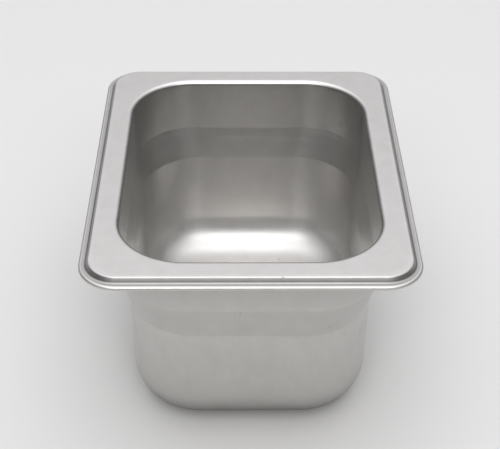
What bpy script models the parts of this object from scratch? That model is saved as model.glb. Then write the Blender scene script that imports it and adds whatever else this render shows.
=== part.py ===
"""Deli food pan: a small, deep pan with a stepped flat rim, drawn from one stainless sheet.

The pan stands on its base at z = 0, centred on the Z axis, with its width along X and its length
along Y. All sizes are in metres.

One open surface, the food side of the sheet, is lofted through rounded rectangles from the base,
up the wall, over the rim and down the hem. Solidify then gives it the thickness of the sheet, on
the side away from the food.
"""

import math

import bmesh
import bpy

# Overall sizes.
PAN_WIDTH = 0.144
PAN_LENGTH = 0.176
PAN_DEPTH = 0.1016
SHEET = 0.0008

# Rim, measured across it from the hem's outer face.
FLANGE_WIDTH = 0.0149
LIP_RADIUS = 0.0022
LAND_INSET = 0.0046
STEP_DROP = 0.0024
STEP_ANGLE = math.radians(62)
STEP_RADIUS = 0.0009
HEM_RADIUS = 0.0010
HEM_DROP = 0.0041
RIM_CORNER_RADIUS = 0.0165

# Body, with the shoulder on which stacked pans stop.
OPENING_CORNER_RADIUS = 0.0294
BODY_CORNER_RADIUS = 0.0310
SHOULDER_DEPTH = 0.0276
SHOULDER_HEIGHT = 0.0167
SHOULDER_INSET = 0.0028
SHOULDER_BEND_RADIUS = 0.0060
WALL_DRAFT = math.radians(0.5)
BASE_RADIUS = 0.0180

# Facets of each curved stretch.
CORNER_FACETS = 9
LIP_FACETS = 5
STEP_FACETS = 3
HEM_FACETS = 3
SHOULDER_FACETS = 2
BASE_FACETS = 7

STEEL_COLOUR = (0.62, 0.61, 0.59, 1.0)
STEEL_ROUGHNESS = 0.28
SMOOTH_ANGLE = math.radians(35)


def steel_material():
    """Bare stainless steel with a satin finish."""
    material = bpy.data.materials.new("stainless")
    material.use_nodes = True
    shader = material.node_tree.nodes["Principled BSDF"]
    shader.inputs["Base Color"].default_value = STEEL_COLOUR
    shader.inputs["Roughness"].default_value = STEEL_ROUGHNESS
    shader.inputs["Metallic"].default_value = 1.0
    return material


def fractions(count):
    """The shares 1/count, 2/count ... 1 of a stretch that is split into count facets."""
    return [step / count for step in range(1, count + 1)]


def hem_stations():
    """The hem, the bend over it and the ledge's outer edge, from the bottom up.

    A station is (inset from the hem's outer face, height, corner radius in plan).
    """
    bend_height = PAN_DEPTH - STEP_DROP - HEM_RADIUS
    sections = [(0.0, PAN_DEPTH - HEM_DROP), (0.0, bend_height)]
    for share in fractions(HEM_FACETS):
        angle = share * math.pi / 2
        inset = HEM_RADIUS * (1 - math.cos(angle))
        height = bend_height + HEM_RADIUS * math.sin(angle)
        sections.append((inset, height))
    return [(inset, height, RIM_CORNER_RADIUS - inset) for inset, height in sections]


def step_stations():
    """The slope from the ledge up to the land, with a bend at its foot and one at its top."""
    bend_run = STEP_RADIUS * math.sin(STEP_ANGLE)
    bend_rise = STEP_RADIUS * (1 - math.cos(STEP_ANGLE))
    slope_rise = STEP_DROP - 2 * bend_rise
    slope_run = slope_rise / math.tan(STEP_ANGLE)
    foot = LAND_INSET - 2 * bend_run - slope_run
    ledge = PAN_DEPTH - STEP_DROP
    sections = [(foot, ledge)]
    for share in fractions(STEP_FACETS):
        angle = share * STEP_ANGLE
        inset = foot + STEP_RADIUS * math.sin(angle)
        height = ledge + STEP_RADIUS * (1 - math.cos(angle))
        sections.append((inset, height))
    for share in [0.0] + fractions(STEP_FACETS):
        angle = (1 - share) * STEP_ANGLE
        inset = LAND_INSET - STEP_RADIUS * math.sin(angle)
        height = PAN_DEPTH - STEP_RADIUS * (1 - math.cos(angle))
        sections.append((inset, height))
    return [(inset, height, RIM_CORNER_RADIUS - inset) for inset, height in sections]


def lip_stations():
    """The bend from the land down into the upper wall, concentric with the opening's corners."""
    stations = []
    for share in [0.0] + fractions(LIP_FACETS):
        angle = share * math.pi / 2
        inset = FLANGE_WIDTH - LIP_RADIUS * (1 - math.sin(angle))
        height = PAN_DEPTH - LIP_RADIUS * (1 - math.cos(angle))
        stations.append((inset, height, OPENING_CORNER_RADIUS + FLANGE_WIDTH - inset))
    return stations


def shoulder_stations():
    """The slope below the upper wall, with a bend at its top and one at its foot.

    The body narrows down the slope, and its corners get rounder with it.
    """
    slope = math.atan2(SHOULDER_INSET, SHOULDER_HEIGHT)
    bend_reach = SHOULDER_BEND_RADIUS * math.tan(slope / 2)
    top = PAN_DEPTH - SHOULDER_DEPTH + bend_reach
    foot = PAN_DEPTH - SHOULDER_DEPTH - SHOULDER_HEIGHT - bend_reach
    sections = []
    for share in [0.0] + fractions(SHOULDER_FACETS):
        angle = share * slope
        narrowing = SHOULDER_BEND_RADIUS * (1 - math.cos(angle))
        sections.append((narrowing, top - SHOULDER_BEND_RADIUS * math.sin(angle)))
    for share in [0.0] + fractions(SHOULDER_FACETS):
        angle = (1 - share) * slope
        narrowing = SHOULDER_INSET - SHOULDER_BEND_RADIUS * (1 - math.cos(angle))
        sections.append((narrowing, foot + SHOULDER_BEND_RADIUS * math.sin(angle)))
    rounding = (BODY_CORNER_RADIUS - OPENING_CORNER_RADIUS) / SHOULDER_INSET
    return [
        (FLANGE_WIDTH + narrowing, height, OPENING_CORNER_RADIUS + rounding * narrowing)
        for narrowing, height in sections
    ]


def base_stations():
    """The fillet between the drafted lower wall and the flat base, down to the base's flat."""
    wall_foot = SHEET + BASE_RADIUS * (1 - math.sin(WALL_DRAFT))
    wall_top = PAN_DEPTH - SHOULDER_DEPTH - SHOULDER_HEIGHT
    draft = (wall_top - wall_foot) * math.tan(WALL_DRAFT)
    wall_inset = FLANGE_WIDTH + SHOULDER_INSET + draft
    stations = []
    for share in [0.0] + fractions(BASE_FACETS):
        angle = WALL_DRAFT + share * (math.pi / 2 - WALL_DRAFT)
        turn = BASE_RADIUS * (math.cos(WALL_DRAFT) - math.cos(angle))
        height = SHEET + BASE_RADIUS * (1 - math.sin(angle))
        stations.append((wall_inset + turn, height, BODY_CORNER_RADIUS - turn))
    return stations


def rounded_rectangle(inset, height, corner_radius):
    """The points of one section in plan, anticlockwise seen from above."""
    half_width = PAN_WIDTH / 2 - inset
    half_length = PAN_LENGTH / 2 - inset
    points = []
    for quarter in range(4):
        side_x = 1 if quarter in (0, 3) else -1
        side_y = 1 if quarter in (0, 1) else -1
        centre_x = side_x * (half_width - corner_radius)
        centre_y = side_y * (half_length - corner_radius)
        for share in [0.0] + fractions(CORNER_FACETS):
            angle = (quarter + share) * math.pi / 2
            x = centre_x + corner_radius * math.cos(angle)
            y = centre_y + corner_radius * math.sin(angle)
            points.append((x, y, height))
    return points


def food_side_mesh():
    """The open surface of the sheet's food side, lofted from the hem's bottom edge to the base."""
    stations = hem_stations() + step_stations() + lip_stations()
    stations += shoulder_stations() + base_stations()
    shell = bmesh.new()
    rings = []
    for inset, height, corner_radius in stations:
        points = rounded_rectangle(inset, height, corner_radius)
        rings.append([shell.verts.new(point) for point in points])
    for outer, inner in zip(rings, rings[1:]):
        for i, vertex in enumerate(outer):
            after = (i + 1) % len(outer)
            shell.faces.new((vertex, outer[after], inner[after], inner[i]))
    shell.faces.new(rings[-1])
    mesh = bpy.data.meshes.new("pan")
    shell.to_mesh(mesh)
    shell.free()
    return mesh


def add_pan(collection):
    """The drawn pan: the food side's surface, thickened to the sheet on its other side."""
    mesh = food_side_mesh()
    mesh.shade_smooth()
    mesh.set_sharp_from_angle(angle=SMOOTH_ANGLE)
    mesh.materials.append(steel_material())
    pan = bpy.data.objects.new("pan", mesh)
    collection.objects.link(pan)
    wall = pan.modifiers.new("sheet", "SOLIDIFY")
    wall.thickness = SHEET
    wall.offset = -1.0
    wall.use_even_offset = True
    return pan


for leftover in list(bpy.data.objects):
    bpy.data.objects.remove(leftover, do_unlink=True)

deli_food_pan = bpy.data.collections.new("deli_food_pan")
bpy.context.scene.collection.children.link(deli_food_pan)
add_pan(deli_food_pan)
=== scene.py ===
"""Looks for the deli food pan: the drawn stainless sheet, its satin finish, and a plain studio."""

import math

import bpy
import numpy as np
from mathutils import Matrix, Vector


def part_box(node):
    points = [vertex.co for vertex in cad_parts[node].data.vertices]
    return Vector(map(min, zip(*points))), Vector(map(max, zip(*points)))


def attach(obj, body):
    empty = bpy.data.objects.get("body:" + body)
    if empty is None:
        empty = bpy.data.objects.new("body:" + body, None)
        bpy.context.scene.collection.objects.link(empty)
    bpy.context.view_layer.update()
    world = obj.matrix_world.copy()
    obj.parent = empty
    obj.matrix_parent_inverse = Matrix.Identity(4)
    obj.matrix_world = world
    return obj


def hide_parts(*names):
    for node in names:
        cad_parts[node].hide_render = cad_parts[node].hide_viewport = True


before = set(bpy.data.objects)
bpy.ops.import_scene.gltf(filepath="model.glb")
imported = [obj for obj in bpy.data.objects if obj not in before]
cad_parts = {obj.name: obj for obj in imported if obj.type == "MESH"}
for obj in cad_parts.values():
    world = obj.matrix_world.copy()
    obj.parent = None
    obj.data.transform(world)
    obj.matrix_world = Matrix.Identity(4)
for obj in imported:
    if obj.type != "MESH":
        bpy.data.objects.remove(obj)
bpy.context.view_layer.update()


# ---------------------------------------------------------------------------------------------
# The pan: one blank of stainless sheet, 0.8 mm thick, drawn down into a deep tray with a tapered
# shoulder, its flat rim stepped down at the edge and turned under into a hem. Both faces of the
# sheet are one closed surface here: a section of the sheet carried round a rounded rectangle.

low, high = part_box("pan")
half_width = (high[0] - low[0]) / 2
half_length = (high[1] - low[1]) / 2
rim_top = high[2]

sheet = 0.0008
rim_corner = 0.0165
hem_drop = 0.0041
hem_bend = 0.0010
step_drop = 0.0024
step_angle = math.radians(62)
step_bend = 0.0009
land_inset = 0.0046
lip_bend = 0.0022
opening_inset = 0.0149
opening_corner = 0.0294
shoulder_depth = 0.0276
shoulder_height = 0.0167
shoulder_inset = 0.0028
shoulder_bend = 0.0060
body_corner = 0.0310
wall_draft = math.radians(0.5)
base_bend = 0.0180

corner_steps = 30
long_side_steps = 34
short_side_steps = 26


def straight(start, end, steps):
    """Points on a straight run of the section: start + share * (end - start), end left out."""
    share = np.linspace(0.0, 1.0, steps, endpoint=False)[:, None]
    return np.array(start) + share * (np.array(end) - np.array(start))


def bend(centre, radius, first, last, steps):
    """Points on a bend: centre + radius * (cos angle, sin angle), the last point left out."""
    angle = np.linspace(first, last, steps, endpoint=False)
    return np.array(centre) + radius * np.column_stack([np.cos(angle), np.sin(angle)])


def section_of_food_side():
    """The food side from the base's flat to the hem's lower edge: inset, height, corner radius.

    Each run is a straight or a bend tangent to the next, and its last number is its count of
    steps. The corner radius in plan is the rim's, the opening's or the body's less the inset, and
    blends between them on the land and down the shoulder.
    """
    quarter = math.pi / 2
    slope = math.atan2(shoulder_inset, shoulder_height)
    reach = shoulder_bend * math.tan(slope / 2)
    upper = rim_top - shoulder_depth
    lower = upper - shoulder_height
    foot = sheet + base_bend * (1 - math.sin(wall_draft))
    narrow = opening_inset + shoulder_inset
    wall_foot = narrow + (lower - foot) * math.tan(wall_draft)
    base_centre = (wall_foot + base_bend * math.cos(wall_draft), sheet + base_bend)
    lower_centre = (narrow - shoulder_bend, lower - reach)
    upper_centre = (opening_inset + shoulder_bend, upper + reach)
    lip_centre = (opening_inset - lip_bend, rim_top - lip_bend)
    rise = step_bend * (1 - math.cos(step_angle))
    run = step_bend * math.sin(step_angle)
    step_foot = land_inset - 2 * run - (step_drop - 2 * rise) / math.tan(step_angle)
    ledge = rim_top - step_drop
    turned = quarter - step_angle
    runs = [
        bend(base_centre, base_bend, -quarter, -math.pi + wall_draft, 26),
        straight((wall_foot, foot), (narrow, lower - reach), 22),
        bend(lower_centre, shoulder_bend, 0.0, slope, 6),
        bend(upper_centre, shoulder_bend, math.pi + slope, math.pi, 6),
        straight((opening_inset, upper + reach), (opening_inset, lip_centre[1]), 12),
        bend(lip_centre, lip_bend, 0.0, quarter, 12),
        straight((lip_centre[0], rim_top), (land_inset, rim_top), 12),
        bend((land_inset, rim_top - step_bend), step_bend, quarter, math.pi - turned, 9),
        bend((step_foot, ledge + step_bend), step_bend, -turned, -quarter, 9),
        straight((step_foot, ledge), (hem_bend, ledge), 4),
        bend((hem_bend, ledge - hem_bend), hem_bend, quarter, math.pi, 9),
        straight((0.0, ledge - hem_bend), (0.0, rim_top - hem_drop + sheet / 2), 4),
    ]
    inset, height = np.concatenate(runs).T
    land_start = opening_inset - lip_bend
    rounding = (body_corner - opening_corner) / shoulder_inset
    on_land = (inset - land_inset) / (land_start - land_inset)
    land_corner = rim_corner - land_inset
    lip_corner = opening_corner + lip_bend
    corner = np.select(
        [
            height < foot,
            height < lower - reach,
            (inset >= opening_inset) & (height < lip_centre[1]),
            inset >= land_start,
            inset > land_inset,
        ],
        [
            body_corner - (inset - wall_foot),
            np.full(len(inset), body_corner),
            opening_corner + rounding * (inset - opening_inset),
            opening_corner + opening_inset - inset,
            land_corner + on_land * (lip_corner - land_corner),
        ],
        rim_corner - inset,
    )
    return inset, height, corner


def both_sides(inset, height, corner):
    """The whole section: the food side, round the cut edge of the hem, and the underside back.

    The underside is the food side moved by the sheet's thickness along the section's normal, and
    the cut edge is half a circle. The last number is how steep the sheet stands, from 0 to 1.
    """
    along = np.gradient(np.column_stack([inset, height]), axis=0)
    along /= np.linalg.norm(along, axis=1)[:, None]
    normal = np.column_stack([along[:, 1], -along[:, 0]])
    normal[0] = (0.0, 1.0)
    normal[-1] = (-1.0, 0.0)
    under_inset = inset - sheet * normal[:, 0]
    under_height = height - sheet * normal[:, 1]
    under_corner = corner + sheet * normal[:, 0]
    edge_angle = np.linspace(math.pi, 2 * math.pi, 9)
    edge_inset = sheet / 2 * (1 + np.cos(edge_angle))
    edge_height = rim_top - hem_drop + sheet / 2 * (1 + np.sin(edge_angle))
    steep = np.abs(normal[:, 0])
    return (
        np.concatenate([inset, edge_inset, under_inset[::-1]]),
        np.concatenate([height, edge_height, under_height[::-1]]),
        np.concatenate([corner, rim_corner - edge_inset, under_corner[::-1]]),
        np.concatenate([steep, np.ones(len(edge_inset)), steep[::-1]]),
    )


def plan_path():
    """A walk round the plan: where the corner's centre is, -1 to 1 on X and on Y, and the angle.

    Round a corner only the angle changes, and along a side only the centre, so a ring is
    centre * (half size - radius) + radius * (cos angle, sin angle).
    """
    centre_x, centre_y, angle = [], [], []
    corners = [(1, 1), (-1, 1), (-1, -1), (1, -1)]
    for turn, (x, y) in enumerate(corners):
        after_x, after_y = corners[(turn + 1) % 4]
        side_steps = short_side_steps if after_y == y else long_side_steps
        share = np.linspace(0.0, 1.0, side_steps, endpoint=False)
        start = turn * math.pi / 2
        angle.append(start + np.linspace(0.0, math.pi / 2, corner_steps, endpoint=False))
        angle.append(np.full(side_steps, start + math.pi / 2))
        centre_x.append(np.concatenate([np.full(corner_steps, x), x + share * (after_x - x)]))
        centre_y.append(np.concatenate([np.full(corner_steps, y), y + share * (after_y - y)]))
    return np.concatenate(centre_x), np.concatenate(centre_y), np.concatenate(angle)


def sheet_surface(section, path):
    """Every point of the sheet, as a grid of section points by path points."""
    inset, height, corner, _ = section
    centre_x, centre_y, angle = path
    span_x = (half_width - inset - corner)[:, None]
    span_y = (half_length - inset - corner)[:, None]
    x = centre_x * span_x + corner[:, None] * np.cos(angle)
    y = centre_y * span_y + corner[:, None] * np.sin(angle)
    z = np.repeat(height[:, None], len(angle), axis=1)
    return x, y, z


def relax(x, y, z, path):
    """The small waves that drawing leaves: sines along each wall and down it, and a slight bow.

    The push is along the plan's normal, the same on both faces of the sheet, and it fades to
    nothing under the rim and at the base, so the pan keeps its size.
    """
    still_top = 0.010
    still_foot = 0.014
    bow_depth = 0.00022
    wave_height = 0.00005
    centre_x, centre_y, angle = path
    down = (rim_top - still_top - z) / (rim_top - still_top - still_foot)
    fade = np.sin(math.pi * np.clip(down, 0.0, 1.0)) ** 2
    panel = (1 - centre_x**2) + (1 - centre_y**2)
    wave = np.sin(95 * x + 38 * z + 0.7) * np.sin(61 * y - 74 * z + 1.9)
    wave += 0.6 * np.sin(160 * (x + y) + 120 * z)
    push = fade * (wave_height * wave - bow_depth * panel)
    return x + push * np.cos(angle), y + push * np.sin(angle), z


def closed_grid(x, y, z, rings, crown):
    """The grid closed over the base on each side: rings that shrink to a pole on a slight crown.

    A ring is share * the last ring, and its height gains crown * (1 - share squared).
    """
    share = np.linspace(0.0, 1.0, rings, endpoint=False)[1:, None]
    rise = crown * (1 - share**2)
    top = np.stack([share * x[0], share * y[0], z[0] + rise], axis=-1)
    under = np.stack([share * x[-1], share * y[-1], z[-1] + rise], axis=-1)
    return np.concatenate([top, np.stack([x, y, z], axis=-1), under[::-1]])


def hump(value, centre, width):
    """A soft hump: e to the power of minus the square of (value - centre) / width."""
    return np.exp(-(((value - centre) / width) ** 2))


def sheet_marks(section, path):
    """How the sheet was worked and used: a name, its amounts down the sheet, and round the plan.

    steep is how upright it stands, worn is its outer bends, rubbed is the shoulder that nested
    pans touch, the rim's step mark is painted shade on that step, the food side's bend mark is a
    painted highlight on the base's bend, the outside mark is painted shade near the base and
    under the rim, and stretched is the corners, where the draw pulled the sheet thinnest.
    """
    ledge_start = 0.0012
    past_rim_step = 0.0056
    hem_bend_foot = 0.0034
    inset, height, _, steep = section
    depth = rim_top - height
    outside = np.arange(len(inset)) >= len(inset) / 2
    on_slope = (inset < land_inset) & (inset > ledge_start) & ~outside

    worn = hump(depth, centre=0.0003, width=0.0004) * (inset < past_rim_step)
    worn += 0.3 * hump(inset, centre=0.0003, width=0.0005) * (depth < hem_bend_foot)
    lip = hump(inset, centre=opening_inset - 0.0008, width=0.0007)
    worn += lip * (depth < lip_bend)
    rubbed = hump(depth, centre=shoulder_depth + 0.001, width=0.004)
    # painted shade: the rim's step is darkened in the colour, to stand for the shade it lies in
    step_painted_shade = on_slope * hump(depth, centre=0.0014, width=0.0011)
    stretched = hump(height, centre=0.009, width=0.010) + 0.35 * steep * (depth > 0.010)
    # painted highlight: the base's bend on the food side is made paler in the colour, and a little
    # rougher
    bend_painted_highlight = ~outside * hump(height, centre=0.013, width=0.010)
    near_base = hump(height, centre=0.0, width=0.012)
    near_rim = hump(depth, centre=0.0, width=0.024)
    # painted shade: the outside near the base and under the rim is darkened in the colour
    outside_painted_shade = outside * (near_base + 0.34 * near_rim)

    columns = len(path[0])
    everywhere = np.ones(columns)
    round_corner = ((np.abs(path[0]) == 1) & (np.abs(path[1]) == 1)).astype(float)
    smoothing = np.hanning(17) / np.hanning(17).sum()
    cornered = np.convolve(np.tile(round_corner, 3), smoothing, "same")[columns : 2 * columns]
    return (
        ("steep", steep, everywhere),
        ("worn", worn, everywhere),
        ("rubbed", rubbed, everywhere),
        ("step_painted_shade", step_painted_shade, everywhere),
        ("stretched", stretched, cornered),
        ("bend_painted_highlight", bend_painted_highlight, everywhere),
        ("outside_painted_shade", outside_painted_shade, everywhere),
    )


def pan_mesh():
    """The pan's mesh: the closed grid's faces, fans to its two poles, and the marks as numbers."""
    base_rings = 16
    crown = 0.00030
    section = both_sides(*section_of_food_side())
    path = plan_path()
    x, y, z = relax(*sheet_surface(section, path), path)
    grid = closed_grid(x, y, z, base_rings, crown)
    rows, columns = grid.shape[:2]
    poles = np.array([[0, 0, sheet + crown], [0, 0, crown]])
    points = np.concatenate([grid.reshape(-1, 3), poles])

    row = np.arange(rows - 1)[:, None] * columns
    column = np.arange(columns)[None, :]
    after = (column + 1) % columns
    below = row + columns
    quads = np.stack([row + column, below + column, below + after, row + after], axis=-1)
    end = (rows - 1) * columns
    food_pole = np.full(columns, rows * columns)
    food_fan = np.stack([food_pole, column[0], after[0]], axis=-1)
    under_fan = np.stack([food_pole + 1, end + after[0], end + column[0]], axis=-1)
    mesh = bpy.data.meshes.new("pan_sheet")
    faces = quads.reshape(-1, 4).tolist() + food_fan.tolist() + under_fan.tolist()
    mesh.from_pydata(points.tolist(), [], faces)
    mesh.shade_smooth()

    base = np.zeros((base_rings - 1, columns))
    for name, down_sheet, round_sheet in sheet_marks(section, path):
        values = np.concatenate([base, np.outer(down_sheet, round_sheet), base]).ravel()
        attribute = mesh.attributes.new(name, "FLOAT", "POINT")
        attribute.data.foreach_set("value", np.clip(np.append(values, [0, 0]), 0, 1))
    mesh.update()
    return mesh


def put(tree, kind, sockets=None, **settings):
    """A node of this kind in the tree, with its settings, and its sockets set or joined."""
    node = tree.nodes.new(kind)
    for name, value in settings.items():
        setattr(node, name, value)
    for name, value in (sockets or {}).items():
        if isinstance(value, bpy.types.NodeSocket):
            tree.links.new(value, node.inputs[name])
        else:
            node.inputs[name].default_value = value
    return node


def total(tree, operation, first, second, third=0.0):
    """The two or three numbers put together by one operation."""
    values = {0: first, 1: second, 2: third}
    return put(tree, "ShaderNodeMath", values, operation=operation).outputs[0]


def carried(tree, value, low_from, high_from, low_to, high_to):
    """The value carried from one range to another, and held at the ends."""
    return put(
        tree,
        "ShaderNodeMapRange",
        {
            "Value": value,
            "From Min": low_from,
            "From Max": high_from,
            "To Min": low_to,
            "To Max": high_to,
        },
    ).outputs["Result"]


def grain(tree, place, stretch, turn, detail):
    """Noise on the place turned and stretched: long where the stretch is small, else fine."""
    mapped = put(
        tree, "ShaderNodeMapping", {"Vector": place, "Rotation": turn, "Scale": stretch}
    ).outputs["Vector"]
    return put(
        tree,
        "ShaderNodeTexNoise",
        {"Vector": mapped, "Scale": 1.0, "Detail": detail, "Roughness": 0.6},
    ).outputs["Fac"]


def spots(tree, place, scale, inner, outer, kept):
    """Round spots in cells of 1 / scale metres, soft from inner to outer, kept in a share of them."""
    cells = put(tree, "ShaderNodeTexVoronoi", {"Vector": place, "Scale": scale})
    chance = put(tree, "ShaderNodeSeparateColor", {"Color": cells.outputs["Color"]}).outputs[0]
    chosen = total(tree, "GREATER_THAN", chance, 1 - kept)
    spot = carried(tree, cells.outputs["Distance"], inner, outer, 1.0, 0.0)
    return total(tree, "MULTIPLY", spot, chosen)


def stainless():
    """Satin stainless steel.

    The colour is bare steel, mottled a little, with brown specks and dull water marks, with
    painted shade as dark steel in the rim's step and outside near the base and the rim, and a
    painted highlight as paler steel in the food side's bend. The roughness is the satin's, with
    die lines down the walls, rolled grain along the flats, cloudy wipe marks, a duller skin where
    the corners stretched, and a polish on the worn bends.
    """
    bare_steel = (0.550, 0.540, 0.522, 1)
    paler_steel = (0.588, 0.578, 0.560, 1)
    relief_depth = 0.000022
    material = bpy.data.materials.new("satin_stainless")
    material.use_nodes = True
    tree = material.node_tree
    shader = tree.nodes["Principled BSDF"]
    shader.inputs["Metallic"].default_value = 1.0

    place = put(tree, "ShaderNodeTexCoord").outputs["Object"]
    steep, worn, rubbed, step_painted_shade, stretched, bend_painted_highlight, outside_painted_shade = (
        put(tree, "ShaderNodeAttribute", attribute_name=name).outputs["Fac"]
        for name in ("steep", "worn", "rubbed", "step_painted_shade", "stretched", "bend_painted_highlight", "outside_painted_shade")
    )

    upright = (0.0, 0.0, 0.0)
    die_lines = grain(tree, place, (850, 850, 12), upright, 4.0)
    rolled = grain(tree, place, (1300, 24, 1300), upright, 3.0)
    wiped = grain(tree, place, (26, 60, 44), (0.3, 0.5, 0.8), 4.0)
    mottle = grain(tree, place, (150, 150, 110), upright, 3.0)
    peel = grain(tree, place, (1000, 1000, 1000), upright, 2.0)
    ring_scuffs = grain(tree, place, (22, 22, 1700), upright, 3.0)
    scratch_one = grain(tree, place, (18, 2600, 40), (0.0, 0.0, 0.5), 1.0)
    scratch_two = grain(tree, place, (18, 2600, 40), (0.0, 0.0, 2.2), 1.0)
    lines = put(tree, "ShaderNodeMix", {0: steep, 2: rolled, 3: die_lines}).outputs[0]
    scratches = total(
        tree,
        "MAXIMUM",
        carried(tree, scratch_one, 0.70, 0.74, 0.0, 1.0),
        carried(tree, scratch_two, 0.71, 0.75, 0.0, 1.0),
    )
    flat = total(tree, "SUBTRACT", 1.0, steep)
    scratches = total(tree, "MULTIPLY", scratches, flat)
    scuffed = total(tree, "MULTIPLY", rubbed, carried(tree, ring_scuffs, 0.50, 0.66, 0.0, 1.0))
    specks = spots(tree, place, 230, 0.05, 0.14, 0.045)
    marks = spots(tree, place, 75, 0.20, 0.42, 0.25)

    rough = carried(tree, wiped, 0.32, 0.68, 0.345, 0.405)
    rough = total(tree, "ADD", rough, carried(tree, lines, 0.3, 0.7, -0.030, 0.030))
    rough = total(tree, "ADD", rough, carried(tree, mottle, 0.3, 0.7, -0.014, 0.014))
    rough = total(tree, "MULTIPLY_ADD", stretched, 0.045, rough)
    rough = total(tree, "MULTIPLY_ADD", bend_painted_highlight, 0.03, rough)
    rough = total(tree, "MULTIPLY_ADD", scuffed, 0.10, rough)
    rough = total(tree, "MULTIPLY_ADD", scratches, 0.12, rough)
    rough = total(tree, "MULTIPLY_ADD", marks, 0.035, rough)
    rough = total(tree, "MULTIPLY_ADD", specks, 0.25, rough)
    rough = total(tree, "MULTIPLY_ADD", worn, -0.07, rough)
    rough = total(tree, "MULTIPLY_ADD", step_painted_shade, 0.06, rough)
    tree.links.new(rough, shader.inputs["Roughness"])

    shade = carried(tree, mottle, 0.3, 0.7, 0.0, 1.0)
    colour = put(
        tree,
        "ShaderNodeMix",
        {0: shade, 6: bare_steel, 7: paler_steel},
        data_type="RGBA",
    ).outputs[2]
    for share, strength, tone in (
        (marks, 0.25, (0.530, 0.516, 0.494, 1)),
        (stretched, 0.30, (0.540, 0.531, 0.517, 1)),
        (scuffed, 0.40, (0.680, 0.672, 0.660, 1)),
        (worn, 0.25, (0.700, 0.692, 0.680, 1)),
        # painted highlight on the food side's bend: paler steel
        (bend_painted_highlight, 0.60, (0.740, 0.732, 0.720, 1)),
        # painted shade on the outside near the base and under the rim: near-black steel
        (outside_painted_shade, 0.92, (0.130, 0.127, 0.122, 1)),
        # painted shade on the rim's step: dark steel
        (step_painted_shade, 0.95, (0.190, 0.187, 0.181, 1)),
        (specks, 0.55, (0.300, 0.240, 0.175, 1)),
    ):
        amount = total(tree, "MULTIPLY", share, strength)
        colour = put(
            tree, "ShaderNodeMix", {0: amount, 6: colour, 7: tone}, data_type="RGBA"
        ).outputs[2]
    tree.links.new(colour, shader.inputs["Base Color"])

    height = total(tree, "MULTIPLY", lines, 0.45)
    height = total(tree, "MULTIPLY_ADD", mottle, 0.45, height)
    height = total(tree, "MULTIPLY_ADD", total(tree, "MULTIPLY", peel, stretched), 0.55, height)
    height = total(tree, "MULTIPLY_ADD", scratches, -0.35, height)
    height = total(tree, "MULTIPLY_ADD", scuffed, -0.25, height)
    relief = put(
        tree, "ShaderNodeBump", {"Strength": 1.0, "Distance": relief_depth, "Height": height}
    )
    tree.links.new(relief.outputs["Normal"], shader.inputs["Normal"])
    return material


pan = bpy.data.objects.new("pan_sheet", pan_mesh())
bpy.context.scene.collection.objects.link(pan)
pan.data.materials.append(stainless())
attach(pan, "root")
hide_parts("pan")


# ---------------------------------------------------------------------------------------------
# The floor: a pale, smooth, matt plane, wide enough to fill the camera's view all round the pan.

reach = 6.0
floor_mesh = bpy.data.meshes.new("floor")
floor_corners = [(-reach, -reach, 0), (reach, -reach, 0), (reach, reach, 0), (-reach, reach, 0)]
floor_mesh.from_pydata(floor_corners, [], [(0, 1, 2, 3)])
floor = bpy.data.objects.new("floor", floor_mesh)
bpy.context.scene.collection.objects.link(floor)
floor_paint = bpy.data.materials.new("pale_floor")
floor_paint.use_nodes = True
floor_shader = floor_paint.node_tree.nodes["Principled BSDF"]
floor_shader.inputs["Base Color"].default_value = (0.66, 0.655, 0.64, 1)
floor_shader.inputs["Roughness"].default_value = 0.85
floor_mesh.materials.append(floor_paint)


# ---------------------------------------------------------------------------------------------
# The light: a wide softbox above and behind the camera, in a soft room that is bright overhead,
# even behind the pan, and dim low down on the camera's side and to left and right.

softbox_light = bpy.data.lights.new("softbox", "AREA")
softbox_light.shape = "RECTANGLE"
softbox_light.size = 1.25
softbox_light.size_y = 0.34
softbox_light.energy = 5.0
softbox_light.color = (1.0, 0.995, 0.98)
softbox = bpy.data.objects.new("softbox", softbox_light)
softbox.location = (0.0, -1.09, 1.05)
softbox.rotation_euler = (math.radians(47.5), 0.0, 0.0)
bpy.context.scene.collection.objects.link(softbox)

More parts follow.
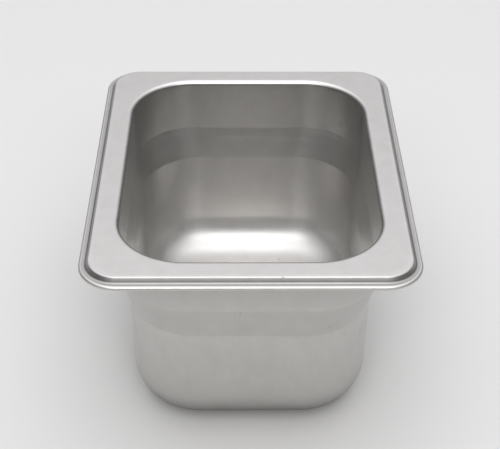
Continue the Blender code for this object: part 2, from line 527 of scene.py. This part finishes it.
room_strength = 2.5
side_dimming = 0.75
low_dimming = 0.85
room = bpy.data.worlds.new("room")
bpy.context.scene.world = room
room.use_nodes = True
air = room.node_tree
looking = put(air, "ShaderNodeTexCoord").outputs["Generated"]
axes = put(air, "ShaderNodeSeparateXYZ", {"Vector": looking}).outputs
rising = put(air, "ShaderNodeValToRGB", {"Fac": axes[2]})
ramp = rising.color_ramp
ramp.elements[0].position = 0.0
ramp.elements[0].color = (0.10, 0.10, 0.10, 1)
ramp.elements[1].position = 1.0
ramp.elements[1].color = (1.0, 1.0, 1.0, 1)
for position, value in ((0.22, 0.13), (0.42, 0.34), (0.62, 0.46), (0.80, 0.58), (0.92, 0.82)):
    ramp.elements.new(position).color = (value, value, value, 1)
sideways = total(air, "MULTIPLY", axes[0], axes[0])
dimmed = total(air, "MULTIPLY_ADD", sideways, -side_dimming, 1.0)
camera_side = carried(air, axes[1], 0.35, -0.35, 0.0, 1.0)
low_down = carried(air, axes[2], 0.50, 0.34, 0.0, 1.0)
shut = total(air, "MULTIPLY", camera_side, low_down)
opened = total(air, "MULTIPLY_ADD", shut, -low_dimming, 1.0)
strength = total(air, "MULTIPLY", total(air, "MULTIPLY", rising.outputs["Color"], dimmed), opened)
strength = total(air, "MULTIPLY", strength, room_strength)
air.links.new(strength, air.nodes["Background"].inputs["Strength"])
air.nodes["Background"].inputs["Color"].default_value = (0.99, 0.99, 1.02, 1)
bpy.context.scene.view_settings.view_transform = "Standard"


# ---------------------------------------------------------------------------------------------
# The camera: a little over half a metre from the pan, in front of it and looking down into it.

lens = bpy.data.cameras.new("camera")
lens.sensor_width = 36.0
lens.lens = 84.4
camera = bpy.data.objects.new("camera", lens)
place = (-0.00555, -0.45188, rim_top + 0.30446)
pitch = math.radians(37.04)
yaw = math.radians(0.76)
roll = math.radians(0.40)
flat_ahead = np.array([math.sin(yaw), math.cos(yaw), 0.0])
forward = flat_ahead * math.cos(pitch) - np.array([0.0, 0.0, math.sin(pitch)])
level = np.array([math.cos(yaw), -math.sin(yaw), 0.0])
upward = np.cross(level, forward)
pose = np.eye(4)
pose[:3, 0] = level * math.cos(roll) + upward * math.sin(roll)
pose[:3, 1] = upward * math.cos(roll) - level * math.sin(roll)
pose[:3, 2] = -forward
pose[:3, 3] = place
camera.matrix_world = pose.T.tolist()
bpy.context.scene.collection.objects.link(camera)
bpy.context.scene.camera = camera
